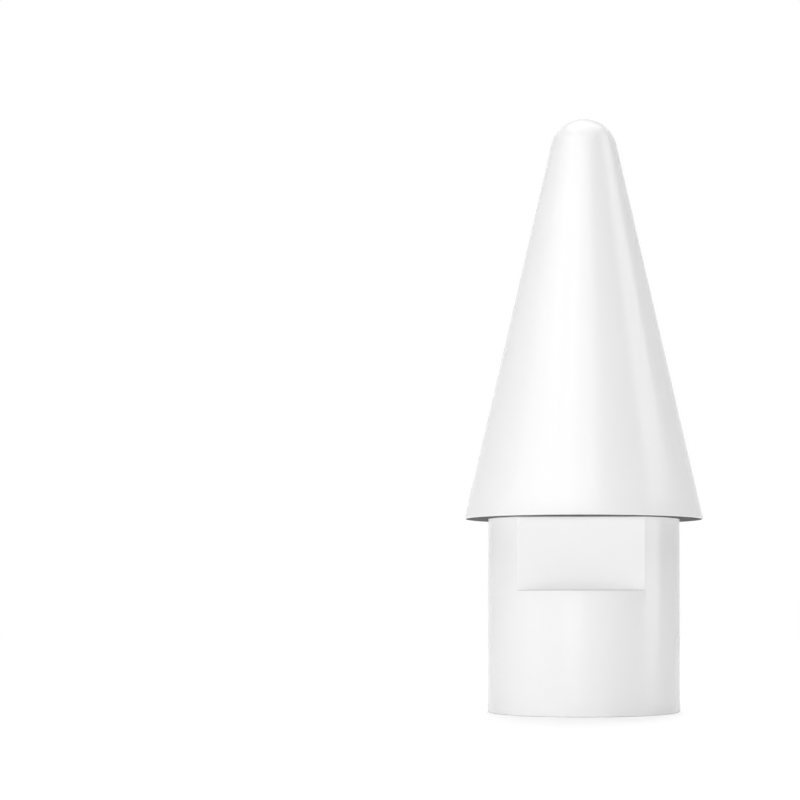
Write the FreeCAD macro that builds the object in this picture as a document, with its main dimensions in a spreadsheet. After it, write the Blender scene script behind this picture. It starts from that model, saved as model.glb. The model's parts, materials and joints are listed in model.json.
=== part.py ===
import FreeCAD, Part
import math
import os

import Sketcher

# Replacement nib for a tablet stylus, in millimetres.
# The foot of the sleeve stands on z = 0 and the point looks up along +Z, on the nib's own axis.
# The spanner flats face -Y and +Y.

# Driving sizes

SIZES = {
    # Threaded insert that screws onto the pen's stem
    "thread_diameter": 2.5,
    "thread_pitch": 0.45,
    "insert_wall": 0.35,
    "insert_length": 4.0,
    "insert_lead_in": 0.3,
    "grip_groove_width": 0.8,
    "grip_groove_depth": 0.15,
    # Sleeve of the shell, with the two spanner flats under its shoulder
    "flat_wall": 0.39,
    "flat_depth": 0.61,
    "flat_height": 1.92,
    "sleeve_height": 5.18,
    "foot_round": 0.05,
    # Mouth of the sleeve, which clears the pen's collar
    "mouth_ledge": 0.3,
    "mouth_depth": 0.6,
    "mouth_chamfer": 0.1,
    # Cone, from the shoulder to the rounded point
    "shoulder_overhang": 0.65,
    "rim_round": 0.04,
    "nib_height": 16.28,
    "point_radius": 0.935,
    # Room above the insert for the end of the pen's stem
    "stem_clearance": 0.2,
    "stem_room": 5.0,
    # Electrode that carries the signal up into the point
    "electrode_diameter": 0.8,
    "electrode_foot_thickness": 0.5,
    "electrode_foot_step": 0.25,
    "wear_thickness": 1.08,
}

# Radii and heights worked out from the driving sizes, from the thread outwards and from the foot up.
# The bore of a metric nut thread lies 5/8 of the sharp thread height inside the nominal diameter.

WORKED = {
    "thread_sharp_height": "sqrt(3) / 2 * Sizes.thread_pitch",
    "bore_radius": "Sizes.thread_diameter / 2 - 5 / 8 * thread_sharp_height",
    "insert_radius": "Sizes.thread_diameter / 2 + Sizes.insert_wall",
    "groove_radius": "insert_radius - Sizes.grip_groove_depth",
    "flat_distance": "insert_radius + Sizes.flat_wall",
    "sleeve_radius": "flat_distance + Sizes.flat_depth",
    "shoulder_radius": "sleeve_radius + Sizes.shoulder_overhang",
    "mouth_radius": "insert_radius + Sizes.mouth_ledge",
    "stem_radius": "bore_radius + Sizes.stem_clearance",
    "electrode_radius": "Sizes.electrode_diameter / 2",
    "electrode_foot_radius": "stem_radius - Sizes.electrode_foot_step",
    "insert_bottom": "Sizes.mouth_depth",
    "insert_top": "insert_bottom + Sizes.insert_length",
    "groove_bottom": "(insert_bottom + insert_top - Sizes.grip_groove_width) / 2",
    "groove_top": "groove_bottom + Sizes.grip_groove_width",
    "flat_bottom": "Sizes.sleeve_height - Sizes.flat_height",
    "stem_top": "insert_top + Sizes.stem_room",
    "electrode_foot_top": "stem_top + Sizes.electrode_foot_thickness",
    "electrode_top": "Sizes.nib_height - Sizes.wear_thickness",
}

H_AXIS_INDEX, V_AXIS_INDEX = -1, -2
ORIGIN = (-1, 1)
START_INDEX, END_INDEX, CENTRE_INDEX = 1, 2, 3
AXIS, BASE = "axis", "base"
TOLERANCE = 1e-6


def write_sheets(doc):
    """Put the driving sizes in the sheet Sizes and the formulas in the sheet Worked, each with an alias."""
    for name, cells, prefix in (("Sizes", SIZES, ""), ("Worked", WORKED, "=")):
        sheet = doc.addObject("Spreadsheet::Sheet", name)
        for row, (alias, content) in enumerate(cells.items(), start=1):
            sheet.set(f"A{row}", alias)
            sheet.set(f"B{row}", f"{prefix}{content}")
            sheet.setAlias(f"B{row}", alias)
        doc.recompute()


def cell(alias):
    """The expression that reads one alias."""
    return f"Sizes.{alias}" if alias in SIZES else f"Worked.{alias}"


def value(doc, alias):
    """The number behind an alias, and zero for a corner on the axis or on the base."""
    if alias in (AXIS, BASE):
        return 0.0
    sheet = doc.getObject("Sizes" if alias in SIZES else "Worked")
    return float(sheet.get(alias))


def new_body(doc, label):
    """A body that keeps the frame of the whole nib."""
    body = doc.addObject("PartDesign::Body", label)
    body.Label = label
    body.Placement = FreeCAD.Placement()
    return body


def origin_plane(body, role):
    """One of the body's own origin planes."""
    return next(item for item in body.Origin.OriginFeatures if item.Role == role)


def new_sketch(body, name, role):
    """A sketch on one of the body's own origin planes."""
    sketch = body.newObject("Sketcher::SketchObject", name)
    sketch.AttachmentSupport = (origin_plane(body, role), [""])
    sketch.MapMode = "FlatFace"
    return sketch


def hold(sketch, geometry, point, radius, height):
    """Hold a point of the sketch at a radius and a height that the sheets give."""
    across = (radius, AXIS, V_AXIS_INDEX, "DistanceX")
    up = (height, BASE, H_AXIS_INDEX, "DistanceY")
    for alias, zero, line, kind in (across, up):
        if alias == zero:
            sketch.addConstraint(Sketcher.Constraint("PointOnObject", geometry, point, line))
            continue
        number = value(sketch.Document, alias)
        index = sketch.addConstraint(Sketcher.Constraint(kind, *ORIGIN, geometry, point, number))
        sketch.setExpression(f"Constraints[{index}]", cell(alias))


def draw_section(sketch, corners, round_end=None):
    """Draw a closed half-section through its corners, each a radius and a height.

    With round_end, a radius and a height, the last line runs on to touch an arc that is centred on
    the axis and crosses it at that height.
    """
    doc = sketch.Document
    points = [FreeCAD.Vector(value(doc, radius), value(doc, height), 0) for radius, height in corners]
    if round_end:
        end_radius, end_height = (value(doc, alias) for alias in round_end)
        centre = FreeCAD.Vector(0, end_height - end_radius, 0)
        reach = centre - points[-1]
        slope = math.atan2(points[-1].x, reach.y) - math.asin(end_radius / reach.Length)
        touch = centre + FreeCAD.Vector(math.cos(slope), math.sin(slope), 0) * end_radius
        points += [touch, FreeCAD.Vector(0, end_height, 0)]
    lines = [Part.LineSegment(*pair) for pair in zip(points, points[1:] + points[:1])]
    if round_end:
        circle = Part.Circle(centre, FreeCAD.Vector(0, 0, 1), end_radius)
        lines[len(corners)] = Part.ArcOfCircle(circle, slope, math.pi / 2)
    sketch.addGeometry(lines, False)
    for index in range(len(lines)):
        following = (index + 1) % len(lines)
        touching = round_end and index == len(corners) - 1
        kind = "Tangent" if touching else "Coincident"
        sketch.addConstraint(Sketcher.Constraint(kind, index, END_INDEX, following, START_INDEX))
    for index, (radius, height) in enumerate(corners):
        hold(sketch, index, START_INDEX, radius, height)
    if round_end:
        arc = len(corners)
        sketch.addConstraint(Sketcher.Constraint("PointOnObject", arc, CENTRE_INDEX, V_AXIS_INDEX))
        index = sketch.addConstraint(Sketcher.Constraint("Radius", arc, end_radius))
        sketch.setExpression(f"Constraints[{index}]", cell(round_end[0]))
        hold(sketch, arc, END_INDEX, AXIS, round_end[1])


def turn(body, name, kind, corners, round_end=None):
    """Revolve a half-section about the nib's axis, to add it (Revolution) or to cut it (Groove)."""
    sketch = new_sketch(body, f"{name}_section", "XZ_Plane")
    draw_section(sketch, corners, round_end)
    feature = body.newObject(f"PartDesign::{kind}", name)
    feature.Profile = (sketch, [""])
    feature.ReferenceAxis = (sketch, ["V_Axis"])
    feature.Angle = 360
    body.Document.recompute()
    return feature


def circle_edges(feature, *circles):
    """Names of the full circles of a feature about the nib's axis, each given by radius and height."""
    doc = feature.Document
    wanted = []
    for radius, height in circles:
        wanted.append((value(doc, radius), FreeCAD.Vector(0, 0, value(doc, height))))
    names = []
    for number, edge in enumerate(feature.Shape.Edges, start=1):
        for radius, centre in wanted:
            same_length = abs(edge.Length - 2 * math.pi * radius) < TOLERANCE
            if same_length and edge.CenterOfMass.distanceToPoint(centre) < TOLERANCE:
                names.append(f"Edge{number}")
    return names


def dress(body, name, kind, size, *circles):
    """Break circular edges of the body with a Fillet or a Chamfer of one size."""
    base = body.Tip
    feature = body.newObject(f"PartDesign::{kind}", name)
    feature.Base = (base, circle_edges(base, *circles))
    feature.setExpression("Radius" if kind == "Fillet" else "Size", cell(size))
    body.Document.recompute()
    return feature


# Sections that two pieces share, so that each seat has the form of what it holds

INSERT_OUTSIDE = [
    ("insert_radius", "insert_bottom"),
    ("insert_radius", "groove_bottom"),
    ("groove_radius", "groove_bottom"),
    ("groove_radius", "groove_top"),
    ("insert_radius", "groove_top"),
    ("insert_radius", "insert_top"),
]
ELECTRODE_SECTION = [
    (AXIS, "stem_top"),
    ("electrode_foot_radius", "stem_top"),
    ("electrode_foot_radius", "electrode_foot_top"),
    ("electrode_radius", "electrode_foot_top"),
]
ELECTRODE_END = ("electrode_radius", "electrode_top")


def make_shell(doc):
    """White moulded shell: sleeve, shoulder, cone and point, hollow for the insert, stem and electrode."""
    body = new_body(doc, "nib_shell")
    sleeve = [
        (AXIS, BASE),
        ("sleeve_radius", BASE),
        ("sleeve_radius", "sleeve_height"),
        (AXIS, "sleeve_height"),
    ]
    turn(body, "sleeve", "Revolution", sleeve)
    cut_flats(body)
    cone = [(AXIS, "sleeve_height"), ("shoulder_radius", "sleeve_height")]
    turn(body, "cone", "Revolution", cone, ("point_radius", "nib_height"))

    mouth = [
        (AXIS, BASE),
        ("mouth_radius", BASE),
        ("mouth_radius", "insert_bottom"),
        (AXIS, "insert_bottom"),
    ]
    turn(body, "mouth", "Groove", mouth)
    seat = [(AXIS, "insert_bottom"), *INSERT_OUTSIDE, (AXIS, "insert_top")]
    turn(body, "insert_seat", "Groove", seat)
    stem = [
        (AXIS, "insert_top"),
        ("stem_radius", "insert_top"),
        ("stem_radius", "stem_top"),
        (AXIS, "stem_top"),
    ]
    turn(body, "stem_bore", "Groove", stem)
    turn(body, "electrode_seat", "Groove", ELECTRODE_SECTION, ELECTRODE_END)

    dress(body, "rim_edge", "Fillet", "rim_round", ("shoulder_radius", "sleeve_height"))
    dress(body, "foot_edge", "Fillet", "foot_round", ("sleeve_radius", BASE))
    dress(body, "mouth_edge", "Chamfer", "mouth_chamfer", ("mouth_radius", BASE))
    return body


def cut_flats(body):
    """Cut the front spanner flat out of the sleeve, from its ledge to the sleeve's top, and mirror it."""
    doc = body.Document
    sketch = new_sketch(body, "flat_window", "XZ_Plane")
    sketch.setExpression("AttachmentOffset.Base.z", cell("flat_distance"))
    half_width = value(doc, "sleeve_radius")
    low, high = value(doc, "flat_bottom"), value(doc, "sleeve_height")
    corners = [(-half_width, low), (half_width, low), (half_width, high), (-half_width, high)]
    points = [FreeCAD.Vector(x, y, 0) for x, y in corners]
    sketch.addGeometry([Part.LineSegment(*pair) for pair in zip(points, points[1:] + points[:1])], False)
    for index in range(len(points)):
        following = (index + 1) % len(points)
        sketch.addConstraint(Sketcher.Constraint("Coincident", index, END_INDEX, following, START_INDEX))
    for index, kind in enumerate(("Vertical", "Horizontal", "Vertical"), start=1):
        sketch.addConstraint(Sketcher.Constraint(kind, index))
    sketch.addConstraint(Sketcher.Constraint("Symmetric", 0, START_INDEX, 0, END_INDEX, V_AXIS_INDEX))
    hold(sketch, 1, START_INDEX, "sleeve_radius", "flat_bottom")
    top = sketch.addConstraint(Sketcher.Constraint("DistanceY", *ORIGIN, 2, START_INDEX, high))
    sketch.setExpression(f"Constraints[{top}]", cell("sleeve_height"))

    flat = body.newObject("PartDesign::Pocket", "front_flat")
    flat.Profile = (sketch, [""])
    flat.Type = "ThroughAll"
    flat.Reversed = True
    doc.recompute()

    pair = body.newObject("PartDesign::Mirrored", "both_flats")
    pair.Originals = [flat]
    pair.MirrorPlane = (origin_plane(body, "XZ_Plane"), [""])
    body.Tip = pair
    doc.recompute()


def make_insert(doc):
    """Turned brass insert, moulded into the sleeve: the shell fills its grip groove."""
    body = new_body(doc, "thread_insert")
    ring = [("bore_radius", "insert_bottom"), *INSERT_OUTSIDE, ("bore_radius", "insert_top")]
    turn(body, "ring", "Revolution", ring)
    ends = [("bore_radius", "insert_bottom"), ("bore_radius", "insert_top")]
    dress(body, "lead_in", "Chamfer", "insert_lead_in", *ends)
    return body


def make_electrode(doc):
    """Metal pin with a disc foot that faces the pen's stem and a rounded end inside the point."""
    body = new_body(doc, "tip_electrode")
    turn(body, "pin_and_foot", "Revolution", ELECTRODE_SECTION, ELECTRODE_END)
    return body


def check_flats(body):
    """Stop if the flats took nothing off the sleeve."""
    before = body.getObject("front_flat").BaseFeature.Shape.Volume
    one = before - body.getObject("front_flat").Shape.Volume
    two = before - body.getObject("both_flats").Shape.Volume
    if one <= TOLERANCE or abs(two - 2 * one) > TOLERANCE:
        raise RuntimeError(f"the flats cut {one} and {two} cubic millimetres")


def check_model(doc, bodies):
    """Stop if any object failed, or a piece is not one closed valid solid."""
    for item in doc.Objects:
        if {"Invalid", "Error"} & set(item.State):
            raise RuntimeError(f"{item.Label} failed: {item.State}")
    for body in bodies:
        shape = body.Shape
        if shape.isNull() or not shape.isValid() or len(shape.Solids) != 1:
            raise RuntimeError(f"{body.Label} is not one valid solid")


def main():
    doc = FreeCAD.newDocument("stylus_nib")
    write_sheets(doc)
    shell = make_shell(doc)
    bodies = [shell, make_insert(doc), make_electrode(doc)]
    doc.recompute()
    check_model(doc, bodies)
    check_flats(shell)
    os.makedirs("parts", exist_ok=True)
    for body in bodies:
        body.Shape.exportStep(f"parts/{body.Label}.step")
        print(f"{body.Label}: {body.Shape.Volume:.2f} cubic millimetres")


main()
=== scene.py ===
import json
from math import acos, asin, ceil, cos, pi, radians, sin, sqrt, tan

import bmesh
import bpy
from mathutils import Matrix, Vector


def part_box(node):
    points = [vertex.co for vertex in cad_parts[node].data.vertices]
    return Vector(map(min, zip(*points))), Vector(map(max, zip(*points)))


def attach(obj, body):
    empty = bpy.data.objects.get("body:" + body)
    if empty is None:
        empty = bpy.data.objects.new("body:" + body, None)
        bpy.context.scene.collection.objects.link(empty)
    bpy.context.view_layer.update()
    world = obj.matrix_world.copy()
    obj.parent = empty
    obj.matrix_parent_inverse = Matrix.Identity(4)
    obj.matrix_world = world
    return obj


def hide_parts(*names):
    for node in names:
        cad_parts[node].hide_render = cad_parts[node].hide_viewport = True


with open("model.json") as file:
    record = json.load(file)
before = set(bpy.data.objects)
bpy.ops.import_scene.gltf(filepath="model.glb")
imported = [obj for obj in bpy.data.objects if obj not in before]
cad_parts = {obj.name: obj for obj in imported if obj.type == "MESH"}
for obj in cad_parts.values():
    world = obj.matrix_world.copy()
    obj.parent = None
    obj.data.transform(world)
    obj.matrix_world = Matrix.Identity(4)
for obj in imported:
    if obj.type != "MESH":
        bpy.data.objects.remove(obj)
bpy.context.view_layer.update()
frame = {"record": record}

scene = bpy.context.scene


# Thread insert
#
# A brass bush turned from bar, with an M2.5 thread cut through it and a lead-in at each end. It lies
# in the mould before the shell is cast round it, and two knurled bands with a groove between them
# hold it in the plastic.

mm = 0.001
mounts = {mount["name"]: mount for mount in frame["record"]["mounts"]}
insert_low, insert_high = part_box("thread_insert")
insert_radius = insert_high.x
bore_radius = mounts["stem_thread"]["dims"]["r_mm"] * mm
thread_radius = 1.25 * mm
thread_pitch = 0.45 * mm
insert_lead_in = 0.3 * mm
grip_groove_width = 0.8 * mm
grip_groove_depth = 0.15 * mm
knurl_teeth = 40
knurl_depth = 0.06 * mm
collar = 0.25 * mm
insert_edge = 0.02 * mm

# One turn of the thread as share of the pitch and share of the depth: crest, flank, root and flank
THREAD_TURN = (
    (0.0, 0.0), (0.125, 0.0), (0.25, 0.0),
    (0.354, 0.333), (0.458, 0.667),
    (0.5625, 1.0), (0.6875, 1.0),
    (0.792, 0.667), (0.896, 0.333),
)
COLUMNS_PER_TOOTH = 4
MERGE = 1e-4 * mm


def groove_heights():
    """Bottom and top of the groove between the two knurled bands."""
    middle = (insert_low.z + insert_high.z) / 2
    return middle - grip_groove_width / 2, middle + grip_groove_width / 2


def insert_outside(column):
    """Outside of the insert at one column, from the bottom face to the top face."""
    valley = column % COLUMNS_PER_TOOTH >= COLUMNS_PER_TOOTH / 2
    band = insert_radius - (knurl_depth if valley else 0)
    groove = insert_radius - grip_groove_depth
    groove_low, groove_high = groove_heights()
    low, high = insert_low.z, insert_high.z
    return [
        (insert_radius - insert_edge, low),
        (insert_radius, low + insert_edge),
        (insert_radius, low + collar),
        (band, low + collar + knurl_depth),
        (band, groove_low),
        (groove, groove_low),
        (groove, groove_high),
        (band, groove_high),
        (band, high - collar - knurl_depth),
        (insert_radius, high - collar),
        (insert_radius, high - insert_edge),
        (insert_radius - insert_edge, high),
    ]


def thread_point(row, column, columns):
    """A point of the thread. Rows climb one pitch a turn, so each keeps its place in the profile."""
    share, depth = THREAD_TURN[row % len(THREAD_TURN)]
    turns = row // len(THREAD_TURN) - 1 + share + column / columns
    height = min(max(insert_low.z + turns * thread_pitch, insert_low.z), insert_high.z)
    from_end = min(height - insert_low.z, insert_high.z - height)
    lead_in = bore_radius + insert_lead_in - from_end
    radius = max(bore_radius + depth * (thread_radius - bore_radius), lead_in)
    angle = 2 * pi * column / columns
    return radius * cos(angle), radius * sin(angle), height


def finished_mesh(name, mesh):
    """Merge a mesh's doubled points, turn its faces outwards and keep it."""
    bmesh.ops.remove_doubles(mesh, verts=mesh.verts, dist=MERGE)
    bmesh.ops.dissolve_degenerate(mesh, edges=mesh.edges, dist=MERGE)
    bmesh.ops.recalc_face_normals(mesh, faces=mesh.faces)
    data = bpy.data.meshes.new(name)
    mesh.to_mesh(data)
    mesh.free()
    return data


def insert_mesh():
    """The knurled outside and the threaded bore, joined by the two flat ends."""
    mesh = bmesh.new()
    columns = knurl_teeth * COLUMNS_PER_TOOTH
    turn_rows = len(THREAD_TURN)
    rows = turn_rows * (ceil((insert_high.z - insert_low.z) / thread_pitch) + 2)
    bore, outside = [], []
    for column in range(columns):
        angle = 2 * pi * column / columns
        bore.append([mesh.verts.new(thread_point(row, column, columns)) for row in range(rows)])
        points = [(r * cos(angle), r * sin(angle), z) for r, z in insert_outside(column)]
        outside.append([mesh.verts.new(point) for point in points])
    for column in range(columns):
        after = (column + 1) % columns
        climb = turn_rows if after == 0 else 0
        for row in range(rows - climb - 1):
            here, there = bore[column], bore[after]
            mesh.faces.new((here[row], here[row + 1], there[row + climb + 1], there[row + climb]))
        here, there = outside[column], outside[after]
        for row in range(len(here) - 1):
            mesh.faces.new((here[row], there[row], there[row + 1], here[row + 1]))
        mesh.faces.new((bore[column][0], bore[after][0], there[0], here[0]))
        mesh.faces.new((bore[column][-1], here[-1], there[-1], bore[after][-1]))
    return finished_mesh("thread_insert", mesh)


def add_piece(name, data, material, smooth_angle=35):
    """A piece with its material, smooth except where its faces meet at more than the angle."""
    data.materials.append(material)
    data.shade_smooth()
    data.set_sharp_from_angle(angle=radians(smooth_angle))
    piece = bpy.data.objects.new(name, data)
    scene.collection.objects.link(piece)
    return piece


def new_material(name):
    """A material with its nodes, its links and its Principled shader."""
    material = bpy.data.materials.new(name)
    material.use_nodes = True
    tree = material.node_tree
    return material, tree.nodes, tree.links, tree.nodes["Principled BSDF"]


def new_group(name, inputs, outputs):
    """A shader node group with its two end nodes. Inputs and outputs are names with socket types."""
    group = bpy.data.node_groups.new(name, "ShaderNodeTree")
    for socket_name, socket_type, default in inputs:
        socket = group.interface.new_socket(socket_name, in_out="INPUT", socket_type=socket_type)
        socket.default_value = default
    for socket_name, socket_type in outputs:
        group.interface.new_socket(socket_name, in_out="OUTPUT", socket_type=socket_type)
    return group, group.nodes.new("NodeGroupInput"), group.nodes.new("NodeGroupOutput")


def turned_metal_group():
    """Fine rings that a lathe leaves round the axis, and a dull film that lies on them in patches."""
    group, given, result = new_group(
        "turned metal",
        (
            ("Clean Color", "NodeSocketColor", (0.8, 0.8, 0.8, 1)),
            ("Dull Color", "NodeSocketColor", (0.6, 0.6, 0.6, 1)),
            ("Ring Scale", "NodeSocketFloat", 20000.0),
            ("Film Scale", "NodeSocketFloat", 1500.0),
            ("Least Roughness", "NodeSocketFloat", 0.2),
            ("Most Roughness", "NodeSocketFloat", 0.4),
        ),
        (
            ("Color", "NodeSocketColor"),
            ("Roughness", "NodeSocketFloat"),
            ("Height", "NodeSocketFloat"),
        ),
    )
    nodes, links = group.nodes, group.links
    place = nodes.new("ShaderNodeTexCoord")
    parts = nodes.new("ShaderNodeSeparateXYZ")
    flat = nodes.new("ShaderNodeCombineXYZ")
    radius = nodes.new("ShaderNodeVectorMath")
    radius.operation = "LENGTH"
    around = nodes.new("ShaderNodeCombineXYZ")
    rings = nodes.new("ShaderNodeTexNoise")
    rings.inputs["Detail"].default_value = 3.0
    film = nodes.new("ShaderNodeTexNoise")
    film.inputs["Detail"].default_value = 4.0
    colour = nodes.new("ShaderNodeMix")
    colour.data_type = "RGBA"
    rough = nodes.new("ShaderNodeMapRange")
    links.new(place.outputs["Object"], parts.inputs[0])
    links.new(parts.outputs["X"], flat.inputs["X"])
    links.new(parts.outputs["Y"], flat.inputs["Y"])
    links.new(flat.outputs[0], radius.inputs[0])
    links.new(radius.outputs["Value"], around.inputs["X"])
    links.new(parts.outputs["Z"], around.inputs["Z"])
    links.new(around.outputs[0], rings.inputs["Vector"])
    links.new(given.outputs["Ring Scale"], rings.inputs["Scale"])
    links.new(place.outputs["Object"], film.inputs["Vector"])
    links.new(given.outputs["Film Scale"], film.inputs["Scale"])
    links.new(film.outputs["Fac"], colour.inputs["Factor"])
    links.new(given.outputs["Clean Color"], colour.inputs["A"])
    links.new(given.outputs["Dull Color"], colour.inputs["B"])
    links.new(rings.outputs["Fac"], rough.inputs["Value"])
    links.new(given.outputs["Least Roughness"], rough.inputs["To Min"])
    links.new(given.outputs["Most Roughness"], rough.inputs["To Max"])
    links.new(colour.outputs["Result"], result.inputs["Color"])
    links.new(rough.outputs["Result"], result.inputs["Roughness"])
    links.new(rings.outputs["Fac"], result.inputs["Height"])
    return group


turned_metal = turned_metal_group()


def metal_material(name, clean, dull, least_rough, most_rough, ring_height):
    """A turned metal whose colour, roughness and rings come from the shared group."""
    material, nodes, links, shader = new_material(name)
    shader.inputs["Metallic"].default_value = 1.0
    marks = nodes.new("ShaderNodeGroup")
    marks.node_tree = turned_metal
    marks.inputs["Clean Color"].default_value = (*clean, 1)
    marks.inputs["Dull Color"].default_value = (*dull, 1)
    marks.inputs["Least Roughness"].default_value = least_rough
    marks.inputs["Most Roughness"].default_value = most_rough
    bump = nodes.new("ShaderNodeBump")
    bump.inputs["Distance"].default_value = ring_height
    links.new(marks.outputs["Color"], shader.inputs["Base Color"])
    links.new(marks.outputs["Roughness"], shader.inputs["Roughness"])
    links.new(marks.outputs["Height"], bump.inputs["Height"])
    links.new(bump.outputs["Normal"], shader.inputs["Normal"])
    return material


brass = metal_material(
    "turned_brass",
    clean=(0.8, 0.62, 0.33),
    dull=(0.72, 0.53, 0.27),
    least_rough=0.16,
    most_rough=0.36,
    ring_height=0.004 * mm,
)
insert = add_piece("threaded_insert", insert_mesh(), brass)
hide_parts("thread_insert")
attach(insert, "root")


# Tip electrode
#
# A nickel-plated pin with a flat foot, turned in one piece. The end of the pen's stem presses on the
# foot, and the pin carries the signal up to the rounded point. The plastic holds it on all sides.

electrode_low, electrode_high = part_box("tip_electrode")
electrode_foot_radius = electrode_high.x
electrode_radius = 0.4 * mm
electrode_foot_thickness = 0.5 * mm
electrode_edge = 0.03 * mm
electrode_columns = 96


def arc(centre_radius, centre_height, size, start, end, steps=5):
    """Points of a section's arc, as radius and height, from one angle to another in degrees."""
    angles = [radians(start + (end - start) * step / steps) for step in range(steps + 1)]
    return [(centre_radius + size * cos(a), centre_height + size * sin(a)) for a in angles]


def even_columns(count):
    """Angles of columns that stand evenly round the axis."""
    return [2 * pi * column / count for column in range(count)]


def turned_mesh(name, columns, section_at, closed=False):
    """Mesh of a section carried round the axis. A closed section is a ring."""
    mesh = bmesh.new()
    rings = []
    for angle in columns:
        points = [(r * cos(angle), r * sin(angle), z) for r, z in section_at(angle)]
        rings.append([mesh.verts.new(point) for point in points])
    for ring, following in zip(rings, rings[1:] + rings[:1]):
        rows = len(ring) if closed else len(ring) - 1
        for row in range(rows):
            above = (row + 1) % len(ring)
            mesh.faces.new((ring[row], following[row], following[above], ring[above]))
    return finished_mesh(name, mesh)


def electrode_section(angle):
    """The pin's section, from the middle of the foot up to the rounded end."""
    low, foot, edge = electrode_low.z, electrode_foot_radius, electrode_edge
    foot_top = low + electrode_foot_thickness
    return [
        (0, low),
        *arc(foot - edge, low + edge, edge, -90, 0),
        *arc(foot - edge, foot_top - edge, edge, 0, 90),
        (electrode_radius, foot_top),
        *arc(0, electrode_high.z - electrode_radius, electrode_radius, 0, 90, steps=12),
    ]


nickel = metal_material(
    "nickel_plate",
    clean=(0.75, 0.73, 0.69),
    dull=(0.66, 0.64, 0.6),
    least_rough=0.12,
    most_rough=0.26,
    ring_height=0.002 * mm,
)
pin_mesh = turned_mesh("tip_electrode", even_columns(electrode_columns), electrode_section)
electrode = add_piece("electrode_pin", pin_mesh, nickel)
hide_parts("tip_electrode")
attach(electrode, "root")


# Moulded shell
#
# One piece of white engineering plastic: a straight sleeve with two spanner flats, a flat shoulder
# and a cone that ends in a rounded point. It is moulded round the two metal pieces, and every
# outer corner has the small radius that a mould leaves.

shell_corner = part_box("nib_shell")[1]
nib_height = shell_corner.z
shoulder_radius = shell_corner.x
sleeve_radius = mounts["sleeve_outside"]["dims"]["r_mm"] * mm
shoulder_height = mounts["shoulder_underside"]["pos_m"][2]
point_radius = 0.935 * mm
flat_distance = 1.99 * mm
flat_bottom = 3.26 * mm
mouth_radius = 1.9 * mm
mouth_chamfer = 0.1 * mm
stem_clearance = 0.2 * mm
stem_radius = bore_radius + stem_clearance

foot_round = 0.05 * mm
rim_round = 0.04 * mm
flat_round = 0.03 * mm
root_round = 0.01 * mm

cone_rows = 24
point_steps = 24
wall_rows = 8
flat_rows = 6
quarter_steps = 34


def cone_outline():
    """Section of the shoulder's rim, the straight cone and the point, from the underside up."""
    centre = nib_height - point_radius
    reach = sqrt(shoulder_radius ** 2 + (centre - shoulder_height) ** 2)
    slope = acos((centre - shoulder_height) / reach) - asin(point_radius / reach)
    inset = rim_round * (1 - sin(slope)) / cos(slope)
    rim_middle = shoulder_radius - rim_round * tan(slope) - inset
    rim = arc(rim_middle, shoulder_height + rim_round, rim_round, -90, slope * 180 / pi)
    start = rim[-1]
    end = (point_radius * cos(slope), centre + point_radius * sin(slope))
    shares = [row / cone_rows for row in range(1, cone_rows)]
    side = [tuple(a + (b - a) * share for a, b in zip(start, end)) for share in shares]
    return rim + side + arc(0, centre, point_radius, slope * 180 / pi, 90, point_steps)


def sleeve_columns():
    """Angles round the nib, closer together at the upright edges of the flats."""
    corner = asin(flat_distance / sleeve_radius)
    quarter = []
    for step in range(quarter_steps):
        quarter.append(corner * (1 - (1 - step / quarter_steps) ** 2))
    for step in range(quarter_steps + 1):
        quarter.append(corner + (pi / 2 - corner) * (step / quarter_steps) ** 2)
    half = quarter + [pi - angle for angle in reversed(quarter[:-1])]
    return half[:-1] + [angle + pi for angle in half[:-1]]


def flat_radius(angle):
    """Distance from the axis to the sleeve with its flats, rounded over at the upright edges."""
    across, along = abs(sin(angle)), abs(cos(angle))
    middle = flat_distance - flat_round
    edge_x = sqrt((sleeve_radius - flat_round) ** 2 - middle ** 2)
    if along * flat_distance <= edge_x * across:
        return flat_distance / across
    if along >= edge_x / (sleeve_radius - flat_round):
        return sleeve_radius
    projected = edge_x * along + middle * across
    return projected + sqrt(projected ** 2 - edge_x ** 2 - middle ** 2 + flat_round ** 2)


def sleeve_section(angle):
    """Section of the sleeve at one angle, from the foot up to the shoulder's underside."""
    rounded = arc(sleeve_radius - foot_round, foot_round, foot_round, -90, 0)
    rise = (flat_bottom - foot_round) / wall_rows
    wall = [(sleeve_radius, foot_round + rise * row) for row in range(1, wall_rows)]
    inner = flat_radius(angle)
    size = min(flat_round, (sleeve_radius - inner) / 2)
    ledge = arc(sleeve_radius - size, flat_bottom - size, size, 0, 90)
    corner = arc(inner + size, flat_bottom + size, size, 270, 180)
    top = shoulder_height - root_round
    bottom = flat_bottom + size
    face = [(inner, bottom + (top - bottom) * row / flat_rows) for row in range(1, flat_rows)]
    root = arc(inner + root_round, top, root_round, 180, 90)
    return rounded + wall + ledge + corner + face + root


def shell_inside():
    """Section of the hollow, from the foot up to the top of the electrode's seat."""
    groove_low, groove_high = groove_heights()
    groove_radius = insert_radius - grip_groove_depth
    foot_top = electrode_low.z + electrode_foot_thickness
    return [
        (mouth_radius + mouth_chamfer, 0),
        (mouth_radius, mouth_chamfer),
        (mouth_radius, insert_low.z),
        (insert_radius, insert_low.z),
        (insert_radius, groove_low),
        (groove_radius, groove_low),
        (groove_radius, groove_high),
        (insert_radius, groove_high),
        (insert_radius, insert_high.z),
        (stem_radius, insert_high.z),
        (stem_radius, electrode_low.z),
        (electrode_foot_radius, electrode_low.z),
        (electrode_foot_radius, foot_top),
        (electrode_radius, foot_top),
        *arc(0, electrode_high.z - electrode_radius, electrode_radius, 0, 90, steps=8),
    ]


def shell_section(angle):
    """The whole closed section at one angle, up the outside first and then down the hollow."""
    return sleeve_section(angle) + cone_outline() + shell_inside()[::-1]


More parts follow.
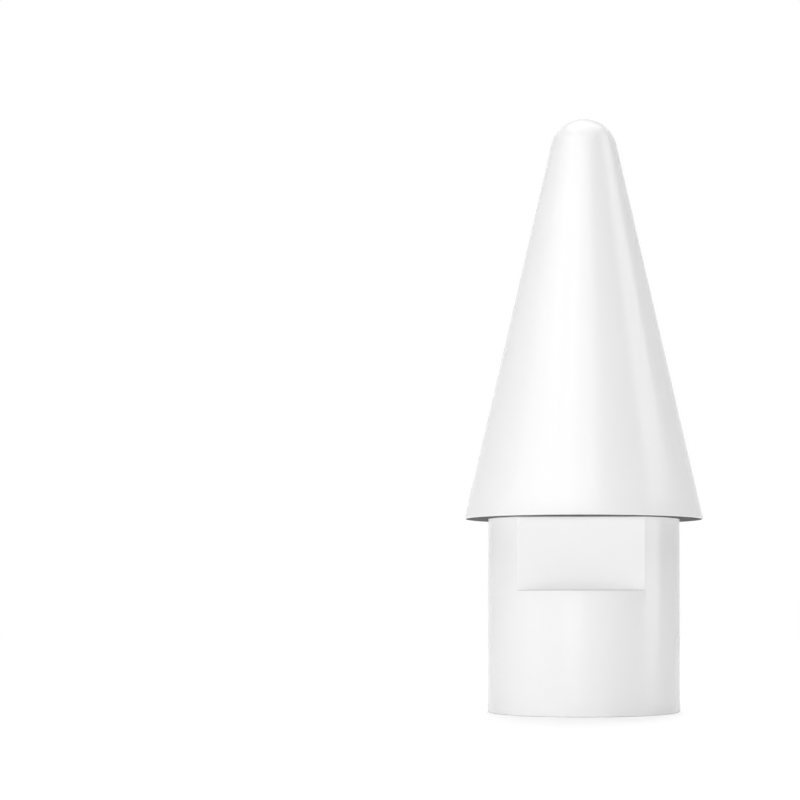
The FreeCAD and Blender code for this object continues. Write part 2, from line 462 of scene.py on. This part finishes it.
# A scale counts the grains to the metre, so that 14000 makes grains of about 0.07 mm
shell_darkest = (0.85, 0.85, 0.848, 1)
shell_palest = (0.87, 0.87, 0.87, 1)
flow_scale = 350.0
mould_grain_scale = 14000.0
mould_grain_height = 0.001 * mm
# Painted shade: the shoulder's underside is white plastic, and its shadow is painted in as dark grey
underside_painted_shade_dark = (0.13, 0.13, 0.13, 1)
underside_painted_shade_pale = (0.18, 0.18, 0.18, 1)
underside_grain_scale = 6000.0
facing_down = -0.9


def plastic_material():
    """Satin white plastic: the mould's fine grain, and a surface that is a little uneven."""
    material, nodes, links, shader = new_material("white_moulded_plastic")
    shader.inputs["IOR"].default_value = 1.5
    place = nodes.new("ShaderNodeTexCoord")
    flow = nodes.new("ShaderNodeTexNoise")
    flow.inputs["Scale"].default_value = flow_scale
    flow.inputs["Detail"].default_value = 2.0
    grain = nodes.new("ShaderNodeTexNoise")
    grain.inputs["Scale"].default_value = mould_grain_scale
    grain.inputs["Detail"].default_value = 3.0
    colour = nodes.new("ShaderNodeMix")
    colour.data_type = "RGBA"
    colour.inputs["A"].default_value = shell_darkest
    colour.inputs["B"].default_value = shell_palest
    rough = nodes.new("ShaderNodeMapRange")
    rough.inputs["To Min"].default_value = 0.17
    rough.inputs["To Max"].default_value = 0.23
    bump = nodes.new("ShaderNodeBump")
    bump.inputs["Distance"].default_value = mould_grain_height
    links.new(place.outputs["Object"], flow.inputs["Vector"])
    links.new(place.outputs["Object"], grain.inputs["Vector"])
    links.new(flow.outputs["Fac"], colour.inputs["Factor"])
    links.new(grain.outputs["Fac"], rough.inputs["Value"])
    links.new(grain.outputs["Fac"], bump.inputs["Height"])
    links.new(colour.outputs["Result"], shader.inputs["Base Color"])
    links.new(rough.outputs["Result"], shader.inputs["Roughness"])
    links.new(bump.outputs["Normal"], shader.inputs["Normal"])
    return material


def underside_painted_shade_material():
    """The shoulder's underside: the same white plastic in shadow, with that shade painted in as a
    dark, matt grey.
    """
    material, nodes, links, shader = new_material("matt_underside_painted_shade")
    shader.inputs["Specular IOR Level"].default_value = 0.1
    place = nodes.new("ShaderNodeTexCoord")
    grain = nodes.new("ShaderNodeTexNoise")
    grain.inputs["Scale"].default_value = underside_grain_scale
    grain.inputs["Detail"].default_value = 3.0
    colour = nodes.new("ShaderNodeMix")
    colour.data_type = "RGBA"
    colour.inputs["A"].default_value = underside_painted_shade_dark
    colour.inputs["B"].default_value = underside_painted_shade_pale
    rough = nodes.new("ShaderNodeMapRange")
    rough.inputs["To Min"].default_value = 0.7
    rough.inputs["To Max"].default_value = 0.9
    links.new(place.outputs["Object"], grain.inputs["Vector"])
    links.new(grain.outputs["Fac"], colour.inputs["Factor"])
    links.new(grain.outputs["Fac"], rough.inputs["Value"])
    links.new(colour.outputs["Result"], shader.inputs["Base Color"])
    links.new(rough.outputs["Result"], shader.inputs["Roughness"])
    return material


shell_mesh = turned_mesh("shell", sleeve_columns(), shell_section, closed=True)
shell = add_piece("moulded_shell", shell_mesh, plastic_material())
# The faces of the shoulder's underside take the material with the painted shade
shell_mesh.materials.append(underside_painted_shade_material())
for face in shell_mesh.polygons:
    at_shoulder = abs(face.center.z - shoulder_height) < rim_round / 4
    if at_shoulder and face.normal.z < facing_down:
        face.material_index = 1
shell.modifiers.new("even normals", "WEIGHTED_NORMAL").keep_sharp = True
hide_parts("nib_shell")
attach(shell, "root")


# Floor, lamps and camera
#
# A pale floor that shows as white with a faint shadow, and a white surround. Soft lamps stand low on
# both sides, behind and above, and panels show as highlights on what is glossy. The camera stands
# where the photo was taken from.

floor_reach = 0.6
floor_colour = (0.8, 0.8, 0.8, 1)
floor_glow = 0.39
shadow_reach = 10 * mm
plain_from = 100 * mm
white = 1.0
corners = [(-floor_reach, -floor_reach), (floor_reach, -floor_reach)]
corners += [(floor_reach, floor_reach), (-floor_reach, floor_reach)]
floor_mesh = bpy.data.meshes.new("floor")
floor_mesh.from_pydata([(x, y, 0) for x, y in corners], [], [(0, 1, 2, 3)])
floor = bpy.data.objects.new("floor", floor_mesh)
scene.collection.objects.link(floor)


def seen_rays(nodes, links):
    """1 for the rays that show the background: from the camera, in a reflection or through glass."""
    path = nodes.new("ShaderNodeLightPath")
    first = nodes.new("ShaderNodeMath")
    first.operation = "MAXIMUM"
    second = nodes.new("ShaderNodeMath")
    second.operation = "MAXIMUM"
    links.new(path.outputs["Is Camera Ray"], first.inputs[0])
    links.new(path.outputs["Is Glossy Ray"], first.inputs[1])
    links.new(first.outputs[0], second.inputs[0])
    links.new(path.outputs["Is Transmission Ray"], second.inputs[1])
    return second.outputs[0]


def floor_material():
    """Matt white floor. Seen nearby it keeps the nib's faint shadow, and far off it is plain white."""
    material, nodes, links, shader = new_material("pale_floor")
    nodes.clear()
    out = nodes.new("ShaderNodeOutputMaterial")
    place = nodes.new("ShaderNodeTexCoord")
    away = nodes.new("ShaderNodeVectorMath")
    away.operation = "LENGTH"
    far_share = nodes.new("ShaderNodeMapRange")
    far_share.interpolation_type = "SMOOTHSTEP"
    far_share.inputs["From Min"].default_value = shadow_reach
    far_share.inputs["From Max"].default_value = plain_from
    matt = nodes.new("ShaderNodeBsdfDiffuse")
    matt.inputs["Color"].default_value = floor_colour
    glow = nodes.new("ShaderNodeEmission")
    glow.inputs["Strength"].default_value = floor_glow
    near = nodes.new("ShaderNodeAddShader")
    far = nodes.new("ShaderNodeEmission")
    far.inputs["Strength"].default_value = white
    seen = nodes.new("ShaderNodeMixShader")
    mix = nodes.new("ShaderNodeMixShader")
    links.new(place.outputs["Object"], away.inputs[0])
    links.new(away.outputs["Value"], far_share.inputs["Value"])
    links.new(matt.outputs[0], near.inputs[0])
    links.new(glow.outputs[0], near.inputs[1])
    links.new(far_share.outputs["Result"], seen.inputs["Fac"])
    links.new(near.outputs[0], seen.inputs[1])
    links.new(far.outputs[0], seen.inputs[2])
    links.new(seen_rays(nodes, links), mix.inputs["Fac"])
    links.new(matt.outputs[0], mix.inputs[1])
    links.new(seen.outputs[0], mix.inputs[2])
    links.new(mix.outputs[0], out.inputs["Surface"])
    return material


floor_mesh.materials.append(floor_material())

world_light = 0.06
world = bpy.data.worlds.new("studio")
scene.world = world
world.use_nodes = True
world_nodes, world_links = world.node_tree.nodes, world.node_tree.links
background = world_nodes["Background"]
background.inputs["Color"].default_value = (1, 1, 1, 1)
world_strength = world_nodes.new("ShaderNodeMix")
world_strength.data_type = "FLOAT"
world_strength.inputs["A"].default_value = world_light
world_strength.inputs["B"].default_value = white
world_links.new(seen_rays(world_nodes, world_links), world_strength.inputs["Factor"])
world_links.new(world_strength.outputs["Result"], background.inputs["Strength"])

# Soft lamps that only light the nib: a name, the azimuth from the front towards +X, the elevation,
# the width and the height in degrees as seen from the nib's middle, and the brightness, where 1 is
# white. The strips stand on the floor, so that nothing shades the sleeve under the shoulder.
LIGHTS = (
    ("right strip", 18, 0, 24, 3.66, 55.5),
    ("left strip", -66, 0, 24, 3.66, 47.2),
    ("back", 180, 25, 40, 30, 3.3),
    ("back above", 180, 62, 40, 26, 1.2),
)
# Panels that only show as highlights on what is glossy, with the same values
HIGHLIGHTS = (
    ("left panel", -60, 35, 30, 30, 1.0),
    ("front left panel", -30, 35, 30, 30, 1.45),
    ("front panel", 0, 35, 30, 30, 1.35),
    ("right panel", 90, 35, 30, 30, 1.75),
    ("low right panel", 90, 0, 24, 3.66, 3.5),
    ("low front panel", -10, 0.5, 20, 4.6, 2.6),
)
lamp_target = Vector((0, 0, 8 * mm))
lamp_distance = 0.25


def add_lamp(name, azimuth, elevation, width, height, brightness):
    """A soft rectangular lamp that faces the nib."""
    lamp = bpy.data.lights.new(name, "AREA")
    lamp.shape = "RECTANGLE"
    lamp.size = 2 * lamp_distance * tan(radians(width / 2))
    lamp.size_y = 2 * lamp_distance * tan(radians(height / 2))
    lamp.energy = pi * lamp.size * lamp.size_y * brightness
    holder = bpy.data.objects.new(name, lamp)
    scene.collection.objects.link(holder)
    a, e = radians(azimuth), radians(elevation)
    place = lamp_target + lamp_distance * Vector((sin(a) * cos(e), -cos(a) * cos(e), sin(e)))
    turn = (place - lamp_target).to_track_quat("Z", "Y")
    holder.matrix_world = Matrix.Translation(place) @ turn.to_matrix().to_4x4()
    return holder


for lamp in LIGHTS:
    add_lamp(*lamp).visible_glossy = False
for lamp in HIGHLIGHTS:
    add_lamp(*lamp).visible_diffuse = False
add_lamp("above", azimuth=0, elevation=90, width=60, height=60, brightness=2.0)

photo_size = 800
axis_column = 583.95
focal_pixels = 1952.2
eye_distance = 53.26 * mm
eye_height = 3.12 * mm
eye_azimuth = radians(2.04)
eye_pitch = radians(5.718)
camera_data = bpy.data.cameras.new("camera")
camera_data.sensor_width = 36
camera_data.lens = focal_pixels * camera_data.sensor_width / photo_size
camera_data.shift_x = (photo_size / 2 - axis_column) / photo_size
camera_data.clip_start = 1 * mm
camera = bpy.data.objects.new("camera", camera_data)
camera.location = (eye_distance * sin(eye_azimuth), -eye_distance * cos(eye_azimuth), eye_height)
camera.rotation_euler = (pi / 2 + eye_pitch, 0, eye_azimuth)
scene.collection.objects.link(camera)
scene.camera = camera
scene.view_settings.view_transform = "Standard"
